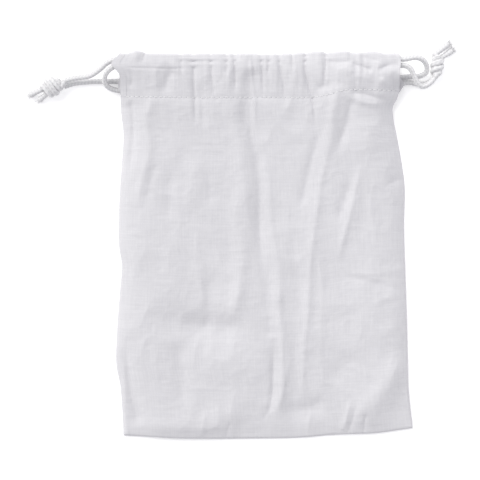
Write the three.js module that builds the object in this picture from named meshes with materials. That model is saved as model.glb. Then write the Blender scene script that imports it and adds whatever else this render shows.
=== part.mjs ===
// A small muslin drawstring bag, lying flat and empty on its back panel.
// Millimetres. +X runs across the bag, +Y from the closed bottom to the mouth, +Z up from the surface it lies on.
// The origin is on that surface, under the middle of the bag.
import * as THREE from "three";

// Driving dimensions.
const CLOTH = 0.6; // the space one layer of muslin takes
const GAP = 0.3; // between neighbouring pieces
const BOTTOM_Y = -99.5; // the closed bottom edge
const STITCH_Y = 76.3; // the row of stitching under the casings
const MOUTH_Y = 99.5; // the folded top edge of the casings
const LOFT_Z = 8.9; // the front panel's inner face, in the middle of the bag
const SEAM_Z = 2.4; // the front panel's inner face, over the side and bottom seams
const CASING_HEIGHT = 4.3; // a casing, over the cords inside it
const CASING_WALL = 0.5;
const CASING_FLAT = 1.2; // a casing's two plies, where no cord holds them apart
const FRONT_CASING_Z = 8.6; // the front casing's inner face, one mouth's height over the back casing
const SLIT_HEM = 3.3; // the rolled hem at each end of a casing
const SEAM_ALLOWANCE = 6.8; // the turned-in cloth along a seam
const THREAD = 0.6; // the width of a row of stitching
const CORD_RADIUS = 1.35;
const CORD_SIDES = 8;
const CORD_STEP = 5.6; // about two diameters

// Where the casings end.
const CASING_LEFT_X = -74;
const FRONT_CASING_RIGHT_X = 70;
const BACK_CASING_RIGHT_X = 74;

// Where each drawstring runs inside the casings: [y, z].
const FRONT_RUN_Z = FRONT_CASING_Z + CASING_HEIGHT / 2;
const BACK_RUN_Z = CASING_HEIGHT / 2;
const LEFT_CORD_FRONT_Y = 96;
const LEFT_CORD_BACK_Y = 85;
const RIGHT_CORD_FRONT_Y = 92.9;
const RIGHT_CORD_BACK_Y = 80.4;

// The side edges as the empty bag lies: [y, x] from the bottom up.
const LEFT_EDGE = [[BOTTOM_Y, -73.5], [-80, -75.8], [-59, -76.5], [3, -75], [44, -73.6], [STITCH_Y, -74]];
const RIGHT_EDGE = [[BOTTOM_Y, 76], [-80, 76.5], [-40, 73.6], [13, 72], [44, 70], [STITCH_Y, 66.5]];

const muslin = () => new THREE.MeshStandardMaterial({ color: 0xf1f1f3, roughness: 0.92, metalness: 0 });
const thread = () => new THREE.MeshStandardMaterial({ color: 0xe9e9eb, roughness: 0.7, metalness: 0 });
const cotton = () => new THREE.MeshStandardMaterial({ color: 0xe4e4e6, roughness: 0.85, metalness: 0 });

function piece(name, geometry, material) {
  const mesh = new THREE.Mesh(geometry, material);
  mesh.name = name;
  return mesh;
}

function edgeX(edge, y) {
  const last = edge.length - 1;
  if (y <= edge[0][0]) return edge[0][1];
  for (let i = 1; i <= last; i++) {
    const [y0, x0] = edge[i - 1];
    const [y1, x1] = edge[i];
    if (y <= y1) return THREE.MathUtils.lerp(x0, x1, (y - y0) / (y1 - y0));
  }
  return edge[last][1];
}

// The bag's outline between two heights, drawn in by an inset on both sides.
function outline(bottom, top, inset) {
  const between = ([y]) => y > bottom && y < top;
  const right = [bottom, ...RIGHT_EDGE.filter(between).map(([y]) => y), top];
  const left = [bottom, ...LEFT_EDGE.filter(between).map(([y]) => y), top];
  const points = [
    ...right.map((y) => new THREE.Vector2(edgeX(RIGHT_EDGE, y) - inset, y)),
    ...left.reverse().map((y) => new THREE.Vector2(edgeX(LEFT_EDGE, y) + inset, y)),
  ];
  return new THREE.Shape(points);
}

// A flat piece of a given plan, between two heights over the surface.
function slab(shape, low, high) {
  const geometry = new THREE.ExtrudeGeometry(shape, { depth: high - low, bevelEnabled: false });
  return geometry.translate(0, 0, low);
}

function backPanel() {
  return piece("back_panel", slab(outline(BOTTOM_Y, STITCH_Y - GAP, 0), 0, CLOTH), muslin());
}

// The front panel lies low over the seams and stands off the back panel between them.
function frontPanel() {
  const columns = 8;
  const rows = 10;
  const top = STITCH_Y - GAP;
  const geometry = new THREE.BoxGeometry(1, 1, 1, columns, rows, 1);
  const position = geometry.attributes.position;
  for (let i = 0; i < position.count; i++) {
    const across = position.getX(i) + 0.5;
    const along = position.getY(i) + 0.5;
    const y = THREE.MathUtils.lerp(BOTTOM_Y, top, along);
    const x = THREE.MathUtils.lerp(edgeX(LEFT_EDGE, y), edgeX(RIGHT_EDGE, y), across);
    const ramp = Math.min(1, across * columns, (1 - across) * columns, along * rows);
    const z = THREE.MathUtils.lerp(SEAM_Z, LOFT_Z, ramp) + (position.getZ(i) + 0.5) * CLOTH;
    position.setXYZ(i, x, y, z);
  }
  return piece("front_panel", geometry, muslin());
}

// A casing's section, y along the shape's x: two plies stitched flat, held apart round the two cords.
function casingSection(cordYs) {
  const lift = CASING_HEIGHT - CASING_WALL;
  const corner = CASING_HEIGHT / 2 - CASING_WALL;
  const low = Math.min(...cordYs) - CORD_RADIUS - GAP;
  const high = Math.max(...cordYs) + CORD_RADIUS + GAP;
  const bulgeHigh = Math.min(high + CASING_WALL, MOUTH_Y - CLOTH);
  const section = new THREE.Shape();
  section.moveTo(STITCH_Y, 0);
  section.lineTo(MOUTH_Y, 0);
  section.lineTo(MOUTH_Y, CASING_FLAT);
  section.lineTo(bulgeHigh, CASING_FLAT);
  section.quadraticCurveTo(bulgeHigh, CASING_HEIGHT, bulgeHigh - corner, CASING_HEIGHT);
  section.lineTo(low - CASING_WALL + corner, CASING_HEIGHT);
  section.quadraticCurveTo(low - CASING_WALL, CASING_HEIGHT, low - CASING_WALL, CASING_FLAT);
  section.lineTo(STITCH_Y, CASING_FLAT);
  const bore = new THREE.Path();
  bore.moveTo(low, CASING_WALL);
  bore.lineTo(low, lift - corner);
  bore.quadraticCurveTo(low, lift, low + corner, lift);
  bore.lineTo(high - corner, lift);
  bore.quadraticCurveTo(high, lift, high, lift - corner);
  bore.lineTo(high, CASING_WALL);
  section.holes.push(bore);
  return section;
}

// A length of casing between two places across the bag.
function casingLength(cordYs, baseZ, from, to) {
  const geometry = new THREE.ExtrudeGeometry(casingSection(cordYs), {
    depth: to - from,
    bevelEnabled: false,
    curveSegments: 3,
  });
  const across = new THREE.Vector3(1, 0, 0);
  const along = new THREE.Vector3(0, 1, 0);
  const up = new THREE.Vector3(0, 0, 1);
  geometry.applyMatrix4(new THREE.Matrix4().makeBasis(along, up, across));
  return geometry.translate(from, 0, baseZ);
}

// One casing and the rolled hems at its two ends.
function casing(side, cordYs, baseZ, left, right) {
  return [
    piece(`${side}_casing`, casingLength(cordYs, baseZ, left + SLIT_HEM + GAP, right - SLIT_HEM - GAP), muslin()),
    piece(`${side}_left_slit_hem`, casingLength(cordYs, baseZ, left, left + SLIT_HEM), muslin()),
    piece(`${side}_right_slit_hem`, casingLength(cordYs, baseZ, right - SLIT_HEM, right), muslin()),
  ];
}

// The row of thread that holds a casing's two plies together.
function casingStitching(side, left, right, low) {
  const geometry = new THREE.BoxGeometry(right - left - 2 * SLIT_HEM, THREAD, THREAD / 2);
  geometry.translate((left + right) / 2, STITCH_Y + THREAD, low + THREAD / 4);
  return piece(`${side}_casing_stitching`, geometry, thread());
}

// A strip inside a side edge, from near to far in from the edge.
function sideStrip(edge, inward, near, far) {
  const low = BOTTOM_Y + SEAM_ALLOWANCE + 3;
  const high = STITCH_Y - GAP;
  const heights = [low, ...edge.map(([y]) => y).filter((y) => y > low && y < high), high];
  const outer = heights.map((y) => new THREE.Vector2(edgeX(edge, y) + inward * near, y));
  const inner = heights.reverse().map((y) => new THREE.Vector2(edgeX(edge, y) + inward * far, y));
  return slab(new THREE.Shape([...outer, ...inner]), CLOTH + GAP, SEAM_Z - GAP);
}

// The turned-in cloth of a side seam, and the row of thread that joins the panels beside it.
function sideSeam(side, edge, inward) {
  const allowanceStart = 2.4;
  const threadStart = 1.4;
  const allowance = sideStrip(edge, inward, allowanceStart, allowanceStart + SEAM_ALLOWANCE);
  const row = sideStrip(edge, inward, threadStart, threadStart + THREAD);
  return [piece(`${side}_side_seam`, allowance, muslin()), piece(`${side}_seam_stitching`, row, thread())];
}

function bottomSeam() {
  const allowanceStart = BOTTOM_Y + 2.4;
  const threadStart = BOTTOM_Y + 1.4;
  const inset = 4;
  const low = CLOTH + GAP;
  const high = SEAM_Z - GAP;
  const allowance = slab(outline(allowanceStart, allowanceStart + SEAM_ALLOWANCE, inset), low, high);
  const row = slab(outline(threadStart, threadStart + THREAD, inset), low, high);
  return [piece("bottom_seam", allowance, muslin()), piece("bottom_seam_stitching", row, thread())];
}

// A cord through a list of places, with flat ends.
function cord(name, places) {
  const route = new THREE.CatmullRomCurve3(places.map((p) => new THREE.Vector3(...p)), false, "centripetal");
  const section = new THREE.Shape();
  for (let i = 0; i < CORD_SIDES; i++) {
    const turn = (2 * Math.PI * i) / CORD_SIDES;
    const point = [CORD_RADIUS * Math.cos(turn), CORD_RADIUS * Math.sin(turn)];
    if (i === 0) section.moveTo(...point);
    else section.lineTo(...point);
  }
  const steps = Math.max(3, Math.round(route.getLength() / CORD_STEP));
  const geometry = new THREE.ExtrudeGeometry(section, { steps, bevelEnabled: false, extrudePath: route });
  return piece(name, geometry, cotton());
}

// A knot as a round barrel: its middle, the way it lies, its length and its thickest radius.
function knot(name, middle, direction, length, radius) {
  const profile = [];
  const bands = 8;
  for (let i = 0; i <= bands; i++) {
    const turn = (Math.PI * i) / bands;
    profile.push(new THREE.Vector2(radius * Math.sin(turn), (-length / 2) * Math.cos(turn)));
  }
  profile[0].x = 0;
  profile[bands].x = 0;
  const mesh = piece(name, new THREE.LatheGeometry(profile, 14), cotton());
  const up = new THREE.Vector3(0, 1, 0);
  mesh.quaternion.setFromUnitVectors(up, new THREE.Vector3(...direction).normalize());
  mesh.position.set(...middle);
  return mesh;
}

// The left drawstring: both ends knotted at the left, and one turn round the right end of the mouth.
function leftDrawstring() {
  const front = LEFT_CORD_FRONT_Y;
  const back = LEFT_CORD_BACK_Y;
  return [
    cord("left_drawstring_cord", [
      [-102.6, 85.2, 5.7], [-98.6, 86.2, 5.8], [-94, 86.9, 6.4], [-89.5, 87.8, 7.4], [-84.9, 90.6, 8.9],
      [-80.8, 94.1, 10.4], [-76, 95.8, FRONT_RUN_Z], [-68, front, FRONT_RUN_Z], [-35, front, FRONT_RUN_Z],
      [0, front, FRONT_RUN_Z], [35, front, FRONT_RUN_Z], [64, front, FRONT_RUN_Z], [71.5, front, FRONT_RUN_Z],
      [77.6, 96.8, 9.9], [81.8, 95.4, 8.2], [83.9, 92.2, 6.1], [83.2, 89.0, 4.2], [80.0, 86.4, 2.9],
      [75.2, back, BACK_RUN_Z], [70, back, BACK_RUN_Z], [35, back, BACK_RUN_Z], [0, back, BACK_RUN_Z],
      [-35, back, BACK_RUN_Z], [-68, back, BACK_RUN_Z], [-78, 85.1, 2.0], [-87, 85.0, 1.8], [-95.5, 84.3, 2.0],
      [-99.8, 83.5, 2.3], [-103.4, 82.3, 2.8],
    ]),
    knot("left_knot", [-109.7, 82.2, 4.5], [-1, -0.32, -0.08], 11.4, 4.4),
    cord("left_tail_upper", [[-115.6, 80.3, 3.9], [-117.6, 79.4, 3.2], [-119.8, 78.3, 2.3], [-121.8, 77.2, 1.7]]),
    cord("left_tail_lower", [[-112.9, 76.9, 3.4], [-114.1, 76.0, 2.8], [-115.4, 75.1, 2.2], [-116.8, 74.2, 1.7]]),
  ];
}

// The right drawstring: both ends knotted at the right, and one turn round the left end of the mouth.
function rightDrawstring() {
  const front = RIGHT_CORD_FRONT_Y;
  const back = RIGHT_CORD_BACK_Y;
  return [
    cord("right_drawstring_cord", [
      [87.7, 86.9, 6.0], [85.6, 84.2, 6.6], [83.0, 82.4, 7.2], [80.6, 82.2, 7.8], [78.4, 84.2, 8.6],
      [76.8, 87.4, 9.5], [75.2, 90.6, 10.3], [72.8, 92.5, 10.7], [69, front, FRONT_RUN_Z], [35, front, FRONT_RUN_Z],
      [0, front, FRONT_RUN_Z], [-35, front, FRONT_RUN_Z], [-72, front, FRONT_RUN_Z], [-77.0, 92.4, 10.6],
      [-80.8, 90.2, 10.0], [-83.0, 87.2, 8.7], [-83.6, 83.8, 6.9], [-82.0, 81.0, 4.8], [-79.0, 80.2, 3.0],
      [-75.0, back, BACK_RUN_Z], [-70, back, BACK_RUN_Z], [-35, back, BACK_RUN_Z], [0, back, BACK_RUN_Z],
      [35, back, BACK_RUN_Z], [70, back, BACK_RUN_Z], [75.2, 80.5, 2.1], [79.6, 81.2, 1.9], [83.8, 82.5, 1.8],
      [87.2, 84.9, 1.8], [89.2, 87.4, 2.2],
    ]),
    knot("right_knot", [89.2, 93.2, 4.6], [0.14, 1, 0.02], 11.2, 3.6),
    cord("right_tail_upper", [[89.4, 99.9, 4.9], [90.8, 101.6, 4.3], [92.4, 103.4, 3.4], [94.2, 105.2, 2.4]]),
    cord("right_tail_lower", [[92.6, 97.8, 3.5], [94.2, 98.7, 3.0], [95.6, 99.3, 2.4], [96.9, 99.8, 1.8]]),
  ];
}

const frontCords = [LEFT_CORD_FRONT_Y, RIGHT_CORD_FRONT_Y];
const backCords = [LEFT_CORD_BACK_Y, RIGHT_CORD_BACK_Y];
const frontStitchingZ = FRONT_CASING_Z + CASING_FLAT + GAP;
const backStitchingZ = CASING_FLAT + GAP;

const bag = new THREE.Group();
bag.add(
  backPanel(),
  frontPanel(),
  ...casing("back", backCords, 0, CASING_LEFT_X, BACK_CASING_RIGHT_X),
  ...casing("front", frontCords, FRONT_CASING_Z, CASING_LEFT_X, FRONT_CASING_RIGHT_X),
  casingStitching("back", CASING_LEFT_X, BACK_CASING_RIGHT_X, backStitchingZ),
  casingStitching("front", CASING_LEFT_X, FRONT_CASING_RIGHT_X, frontStitchingZ),
  ...sideSeam("left", LEFT_EDGE, 1),
  ...sideSeam("right", RIGHT_EDGE, -1),
  ...bottomSeam(),
  ...leftDrawstring(),
  ...rightDrawstring(),
);

export default bag;
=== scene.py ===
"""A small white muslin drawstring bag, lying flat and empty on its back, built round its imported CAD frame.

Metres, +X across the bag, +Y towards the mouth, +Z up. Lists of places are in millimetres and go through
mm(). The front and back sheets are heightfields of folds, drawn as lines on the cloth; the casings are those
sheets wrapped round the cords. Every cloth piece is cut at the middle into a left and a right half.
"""

import bpy
import numpy as np
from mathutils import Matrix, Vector


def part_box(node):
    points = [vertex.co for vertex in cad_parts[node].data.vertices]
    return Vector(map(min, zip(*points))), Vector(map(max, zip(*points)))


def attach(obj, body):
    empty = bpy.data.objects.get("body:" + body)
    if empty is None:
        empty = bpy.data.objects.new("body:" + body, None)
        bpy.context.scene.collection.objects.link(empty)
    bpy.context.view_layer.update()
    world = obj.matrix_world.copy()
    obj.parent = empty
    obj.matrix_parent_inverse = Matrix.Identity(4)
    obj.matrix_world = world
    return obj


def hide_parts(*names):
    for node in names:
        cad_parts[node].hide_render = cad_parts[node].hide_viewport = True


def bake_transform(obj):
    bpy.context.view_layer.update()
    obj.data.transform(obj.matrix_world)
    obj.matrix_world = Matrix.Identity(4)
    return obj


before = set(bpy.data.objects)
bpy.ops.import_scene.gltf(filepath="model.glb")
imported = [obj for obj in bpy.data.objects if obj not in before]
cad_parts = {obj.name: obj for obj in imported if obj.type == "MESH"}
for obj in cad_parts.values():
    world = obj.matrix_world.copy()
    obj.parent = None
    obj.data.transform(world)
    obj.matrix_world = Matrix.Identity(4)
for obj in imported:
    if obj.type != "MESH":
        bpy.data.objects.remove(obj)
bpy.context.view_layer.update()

MM = 0.001

# Places that come from the frame.
PANEL_LOW, PANEL_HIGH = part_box("back_panel")
FRONT_CASING_LOW, FRONT_CASING_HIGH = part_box("front_casing")
FRONT_HEM_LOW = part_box("front_left_slit_hem")[0]
FRONT_HEM_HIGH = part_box("front_right_slit_hem")[1]
BACK_HEM_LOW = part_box("back_left_slit_hem")[0]
BACK_HEM_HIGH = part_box("back_right_slit_hem")[1]
STITCH_Y = FRONT_CASING_LOW.y
BOTTOM = PANEL_LOW.y
SLIT_HEM = 3.3 * MM  # the length of the rolled hem at each end of a casing

# Cloth.
CLOTH = 0.38 * MM  # the muslin's thickness
CLOTH_COLUMNS = 300  # grid lines across the bag
PANEL_ROWS = 250
CASING_ROWS = 108  # round a whole casing: its outer ply, the fold at the top and the inner ply
OUTER_ROWS = 64
FOLD_ROWS = 16
MIDDLE = CLOTH_COLUMNS // 2  # the grid line where the cloth is cut into halves
WEAVE_PITCH = 0.56 * MM
SLUB_WIDTH = 0.7 * MM  # the thick and thin threads of the weave
SLUB_LENGTH = 14 * MM
CLOUD_SIZE = 11 * MM  # the faint denser patches
STITCH_PITCH = 2.5 * MM
STITCH_GAP = 0.6 * MM  # between one stitch and the next, where the needle went in
BOTTOM_STITCH_GAP = 0.5 * MM  # the same along the bottom seam
CASING_STITCH_LIFT = 0.12 * MM  # how far a stitch arches over the cloth
SEAM_STITCH_LIFT = 0.16 * MM
HOLE_RADIUS = 0.42 * MM
THREAD_RADIUS = 0.24 * MM
THREAD_RING = 6  # points round a thread
THREAD_TWIST = 0.28 * MM
SEAM_PLIES = 0.75 * MM  # the thickness of a seam allowance
SEAM_STEP = 1.2 * MM  # between the points along a seam
SEAM_STITCH_INSET = 1.7 * MM  # from the bag's edge
SEAM_STITCH_Z = 1.25 * MM
SEAM_EDGE_Z = 0.95 * MM  # the front sheet at its side and bottom edges
BODY_LOFT = 4.8 * MM  # how far the front sheet stands over its edges, in the lower body
BOTTOM_SINK = 1.8 * MM  # how much less at the bottom edge
MOUTH_LOFT = 8.7 * MM  # and just under the casing
EDGE_RAMP = 6.5 * MM  # how fast it rises from a side edge
BOTTOM_RAMP = 15.0 * MM
RAMP_POWER = 1.15
EDGE_BULGE = 0.75 * MM  # the round of the turned edges, and how wide it is
EDGE_BULGE_WIDTH = 1.4 * MM
SLIT_LIFT = 1.2 * MM  # how much higher the edges lie beside the casing
CORD_LIFT = 3.2 * MM  # and how much higher again where the cords leave it
CASING_CREST = 13.1 * MM  # the highest line of the front casing's outer ply
CASING_CREST_Y = (92.0 * MM, 88.5 * MM)  # where it lies at the left and at the right
CASING_PUFF = 0.8 * MM  # how much higher it stands at the right
STITCH_PUFF = 1.6 * MM  # how much higher the stitching lies there
CASING_DROP = 0.75 * MM  # from the crest down to the casing's fold at the mouth
OVER_CORD_Z = 12.34 * MM  # the least height that clears the cords
FRONT_RUN_Y = (92.9 * MM, 96.0 * MM)
INNER_PLY_Z = 8.95 * MM
BACK_TOP_Y = 98.4 * MM  # the back casing's top edge
BACK_REST_Z = CLOTH / 2 + 0.03 * MM  # the back sheet on the surface
FOLD_RADIUS = 1.6 * MM  # of the casing's fold at the mouth

# Cords.
CORD_RADIUS = 1.35 * MM
FRONT_RUN_Z = 10.75  # in millimetres, like the routes: the cords' height inside the front casing
BACK_RUN_Z = 2.15
CORD_RING = 26  # points round a cord
CORD_STEP = 0.36 * MM
BRAID_PITCH = 1.8 * MM
BRAID_SLANT = 0.45  # how far a strand climbs from the groove to the middle of its row, of the pitch
ROW_DEPTH = 0.22 * MM
TICK_DEPTH = 0.06 * MM
FIBRE_WIDTH = 0.22 * MM  # of the cotton that the cords are spun from
FIBRE_LENGTH = 1.1 * MM
CORD_WANDER = 0.16 * MM  # how far a handled cord strays from a smooth line
KNOT_TURNS = 1.4  # how often each strand winds round the knot
KNOT_STRAND = 1.12 * CORD_RADIUS
KNOT_CORE = 1.8 * CORD_RADIUS
KNOT_RING = 20

# The camera looks straight down, and its picture is this wide at the height of the cloth.
PICTURE_WIDTH = 247.4 * MM
PICTURE_MIDDLE = (-12.6 * MM, 3.1 * MM)
CLOTH_HEIGHT = 5.5 * MM
CAMERA_LENS = 180.0
CAMERA_SENSOR = 36.0

# Light.
AMBIENT = 0.62
AMBIENT_COLOUR = (0.99, 0.985, 1.03, 1)
KEY_POWER = 1.98
KEY_FROM = (-0.50, 0.56, 0.67)
KEY_SPREAD = 0.9  # radians: how wide the soft light looks from the bag
KEY_COLOUR = (1.0, 0.995, 0.965)
FILL_POWER = 0.095  # of the small near light at the upper right, in watts
FILL_PLACE = (0.20, 0.16, 0.22)
FILL_AIM = (0.03, 0.04, 0.0)
FILL_SIZE = 0.18

# Colours.
MUSLIN_DARK = (0.612, 0.608, 0.634)
MUSLIN_LIGHT = (0.800, 0.793, 0.812)
HOLE_COLOUR = (0.42, 0.42, 0.45)
# The cord's dark colour stands both for its fibres' own tone and for painted shade in the braid's grooves.
CORD_DARK = (0.50, 0.50, 0.512)
CORD_LIGHT = (0.86, 0.857, 0.862)
THREAD_DARK = (0.70, 0.70, 0.71)
THREAD_LIGHT = (0.92, 0.92, 0.92)
TABLE_DARK = (0.93, 0.93, 0.93)
TABLE_LIGHT = (0.96, 0.96, 0.96)


# ---------------------------------------------------------------- numbers


def mm(places):
    """A list of places in millimetres, as an array in metres."""
    return np.array(places, float) * MM


def smoothstep(t):
    t = np.clip(t, 0.0, 1.0)
    return t * t * (3 - 2 * t)


def grown(at, start, width):
    """0 before a place and 1 beyond it, over a width; both are in millimetres."""
    return smoothstep((at - start * MM) / (width * MM))


def mix(a, b, t):
    return a + (b - a) * t


def curve_through(points, per_span=8):
    """A centripetal Catmull-Rom curve through the points, as a dense list, open at both ends."""
    p = np.array(points, float)
    ends = np.vstack([2 * p[0] - p[1], p, 2 * p[-1] - p[-2]])
    dense = []
    for k in range(len(p) - 1):
        p0, p1, p2, p3 = ends[k : k + 4]
        d0, d1, d2 = (max(1e-9, np.linalg.norm(b - a)) ** 0.5 for a, b in ((p0, p1), (p1, p2), (p2, p3)))
        tangent1 = ((p1 - p0) / d0 - (p2 - p0) / (d0 + d1) + (p2 - p1) / d1) * d1
        tangent2 = ((p2 - p1) / d1 - (p3 - p1) / (d1 + d2) + (p3 - p2) / d2) * d1
        t = (np.arange(per_span) / per_span)[:, None]
        c0, c1 = p1, tangent1
        c2 = -3 * p1 + 3 * p2 - 2 * tangent1 - tangent2
        c3 = 2 * p1 - 2 * p2 + tangent1 + tangent2
        dense.append(c0 + c1 * t + c2 * t**2 + c3 * t**3)
    dense.append(p[-1:])
    return np.vstack(dense)


def distances(line):
    """How far along a line each of its points is."""
    return np.concatenate([[0], np.cumsum(np.linalg.norm(np.diff(line, axis=0), axis=1))])


def spaced(points, step):
    """The same line with its points one step apart."""
    along = distances(points)
    wanted = np.linspace(0, along[-1], max(2, int(round(along[-1] / step)) + 1))
    return np.stack([np.interp(wanted, along, points[:, k]) for k in range(points.shape[1])], 1)


def outline(pairs):
    """An edge of the bag as a function: where it is at a place along it."""
    line = curve_through(mm(pairs), 10)
    order = np.argsort(line[:, 0])
    return lambda at: np.interp(at, line[order, 0], line[order, 1])


def value_noise(x, y, size, seed):
    """Smooth noise from -1 to 1, with features of that size in metres."""
    table = np.random.RandomState(seed).uniform(-1, 1, (64, 64))
    u, v = x / size + 17.3, y / size + 9.1
    i, j = np.floor(u).astype(int), np.floor(v).astype(int)
    fu, fv = smoothstep(u - i), smoothstep(v - j)
    i0, j0, i1, j1 = i % 64, j % 64, (i + 1) % 64, (j + 1) % 64
    low = mix(table[i0, j0], table[i1, j0], fu)
    high = mix(table[i0, j1], table[i1, j1], fu)
    return mix(low, high, fv)


def crumple(x, y, size, seed):
    """Crinkles: sharp crests between soft hollows, from -1 to 1."""
    warp = 0.35 * size * value_noise(x, y, size * 1.7, seed + 1)
    return 1 - 2 * np.abs(value_noise(x + warp, y - warp, size, seed))


def fold(x, y, height, width, places, ends=(0.12, 0.22)):
    """The relief of one fold along a line on the cloth: a crest, or a valley if its height is negative."""
    line = spaced(curve_through(mm(places), 6), 3 * MM)
    px, py = x.ravel(), y.ravel()
    best = np.full(px.shape, 1e9)
    share = np.zeros(px.shape)
    spans = len(line) - 1
    for k in range(spans):
        a, b = line[k], line[k + 1]
        d = b - a
        t = np.clip(((px - a[0]) * d[0] + (py - a[1]) * d[1]) / (d @ d), 0, 1)
        away = np.hypot(px - a[0] - t * d[0], py - a[1] - t * d[1])
        nearer = away < best
        best = np.where(nearer, away, best)
        share = np.where(nearer, (k + t) / spans, share)
    first, last = max(ends[0], 1e-6), max(ends[1], 1e-6)
    taper = smoothstep(share / first) * smoothstep((1 - share) / last)
    relief = height * MM * taper / (1 + (best / (width * MM)) ** 2) ** 1.6
    return relief.reshape(x.shape)


# ---------------------------------------------------------------- the cloth's outline and folds

left_edge = outline([
    (-99, -72.8), (-91, -73.0), (-82, -73.6), (-72, -74.4), (-61, -76.5), (-43, -76.0), (-26, -74.8),
    (-10, -73.6), (0, -75.0), (21, -75.0), (44, -73.5), (58, -72.8), (70, -74.0), (76.3, -74.0), (100, -74.0),
])
RIGHT_SIDE = [
    (-99, 76.9), (-91, 76.3), (-82, 75.2), (-71, 74.3), (-55, 74.0), (-38, 73.6), (-14, 72.8), (10, 72.1),
    (31, 72.4), (44, 70.7), (58, 68.1), (67, 66.4),
]
right_edge = outline(RIGHT_SIDE + [(71.8, 66.3), (76.3, 68.4), (82, 69.6), (100, 69.4)])
back_right_edge = outline(RIGHT_SIDE + [(71.8, 66.4), (76.3, 68.4), (79, 70.6), (82.5, 73.4), (100, 73.6)])
bottom_edge = outline([
    (-76, -97.6), (-72.8, -97.9), (-59, -98.6), (-43, -99.4), (-9, -99.5), (18, -99.0), (35, -97.6),
    (58, -96.6), (70, -95.0), (77, -94.0),
])
front_stitch_line = outline([
    (-80, 77.3), (-60, 76.6), (-40, 76.3), (0, 76.3), (25, 76.4), (33, 77.6), (41, 79.8), (50, 80.2),
    (62, 80.0), (80, 79.6),
])
top_edge = outline([
    (-82, 98.6), (-75, 98.6), (-70, 98.6), (-67, 99.7), (-63, 99.7), (-60, 98.8), (-50, 98.5), (-35, 98.6),
    (-24, 98.7), (-10, 98.5), (0, 98.4), (12, 98.6), (20, 99.2), (28, 99.8), (33, 99.2), (42, 99.9),
    (45.5, 99.0), (50, 99.2), (57, 99.6), (60.5, 98.8), (67, 98.6), (70, 97.8), (80, 97.6),
])

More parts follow.
